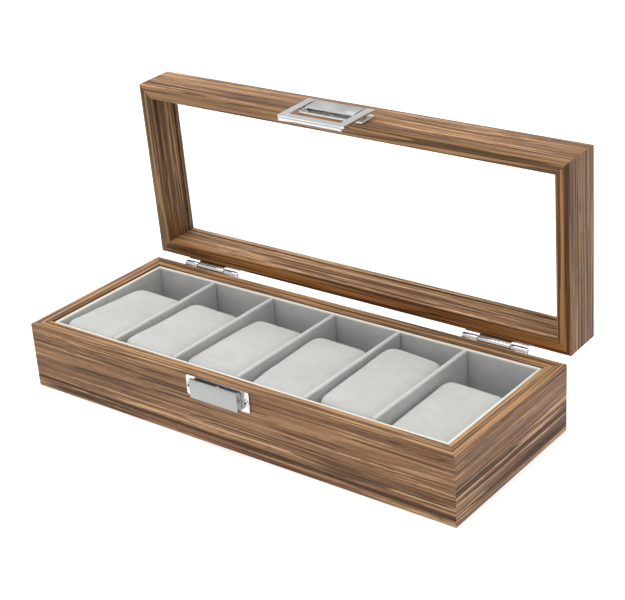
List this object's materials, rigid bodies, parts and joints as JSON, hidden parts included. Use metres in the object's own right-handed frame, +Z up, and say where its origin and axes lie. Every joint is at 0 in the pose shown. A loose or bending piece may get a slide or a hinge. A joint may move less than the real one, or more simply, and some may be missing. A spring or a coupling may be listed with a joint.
{
  "type": "watch box",
  "caption": "Walnut-veneer watch box with velvet compartments, lift-out cushions, a glazed lid on two hinges and a folding hasp.",
  "frame": {"origin": "centre of the underside, where the box rests", "axes": "+X along the box's length to the right seen from the latch side, +Y from the latch to the hinges, +Z up"},
  "size_m": [0.3, 0.1501, 0.1635],
  "materials": {
    "walnut_veneer": "satin walnut-grain veneer, streaked along each board",
    "fibreboard": "raw fibreboard",
    "velvet_liner": "short-pile pale grey velvet on card",
    "velvet_cushion": "short-pile pale grey velvet, padded",
    "underside_felt": "black felt",
    "chrome": "polished chrome plate",
    "satin_nickel": "satin nickel plate",
    "glass": "clear polished glass"
  },
  "bodies": {
    "base": {"base_front_board": "walnut_veneer", "base_right_board": "walnut_veneer", "base_back_board": "walnut_veneer", "base_left_board": "walnut_veneer", "underside_felt": "underside_felt", "base_bottom_panel": "fibreboard", "liner_floor": "velvet_liner", "liner_front": "velvet_liner", "liner_right": "velvet_liner", "liner_back": "velvet_liner", "liner_left": "velvet_liner", "divider_1": "velvet_liner", "divider_2": "velvet_liner", "divider_3": "velvet_liner", "divider_4": "velvet_liner", "divider_5": "velvet_liner", "catch_plate": "chrome", "catch_cover": "satin_nickel", "catch_screw_1": "chrome", "catch_screw_2": "chrome", "catch_screw_3": "chrome", "hinge_base_screw_1": "chrome", "hinge_base_screw_2": "chrome", "hinge_base_screw_3": "chrome", "hinge_base_screw_4": "chrome", "hinge_left_base_leaf": "chrome", "hinge_left_pin": "chrome", "hinge_right_base_leaf": "chrome", "hinge_right_pin": "chrome"},
    "lid": {"lid_front_rail": "walnut_veneer", "lid_right_rail": "walnut_veneer", "lid_back_rail": "walnut_veneer", "lid_left_rail": "walnut_veneer", "lid_glass": "glass", "keeper_plate": "chrome", "keeper_cover": "satin_nickel", "keeper_screw_1": "chrome", "keeper_screw_2": "chrome", "keeper_screw_3": "chrome", "hinge_lid_screw_1": "chrome", "hinge_lid_screw_2": "chrome", "hinge_lid_screw_3": "chrome", "hinge_lid_screw_4": "chrome", "hasp_pin": "chrome", "hinge_left_lid_leaf": "chrome", "hinge_right_lid_leaf": "chrome"},
    "hasp": {"hasp_frame": "chrome"},
    "cushion_1": {"cushion_1": "velvet_cushion"},
    "cushion_2": {"cushion_2": "velvet_cushion"},
    "cushion_3": {"cushion_3": "velvet_cushion"},
    "cushion_4": {"cushion_4": "velvet_cushion"},
    "cushion_5": {"cushion_5": "velvet_cushion"},
    "cushion_6": {"cushion_6": "velvet_cushion"}
  },
  "joints": [
    {"name": "lid_hinge", "type": "hinge", "parent": "base", "child": "lid", "pos_m": [0, 0.0602, 0.041], "axis": [-1, 0, 0], "range_deg": [-87.9, 0]},
    {"name": "hasp_pivot", "type": "hinge", "parent": "lid", "child": "hasp", "pos_m": [-0.003, 0.06739, 0.16154], "axis": [-1, 0, 0], "range_deg": [0, 90]},
    {"name": "cushion_1_lift", "type": "slide", "parent": "base", "child": "cushion_1", "axis": [0, 0, 1], "range_m": [0, 0.06]},
    {"name": "cushion_2_lift", "type": "slide", "parent": "base", "child": "cushion_2", "axis": [0, 0, 1], "range_m": [0, 0.06]},
    {"name": "cushion_3_lift", "type": "slide", "parent": "base", "child": "cushion_3", "axis": [0, 0, 1], "range_m": [0, 0.06]},
    {"name": "cushion_4_lift", "type": "slide", "parent": "base", "child": "cushion_4", "axis": [0, 0, 1], "range_m": [0, 0.06]},
    {"name": "cushion_5_lift", "type": "slide", "parent": "base", "child": "cushion_5", "axis": [0, 0, 1], "range_m": [0, 0.06]},
    {"name": "cushion_6_lift", "type": "slide", "parent": "base", "child": "cushion_6", "axis": [0, 0, 1], "range_m": [0, 0.06]}
  ]
}
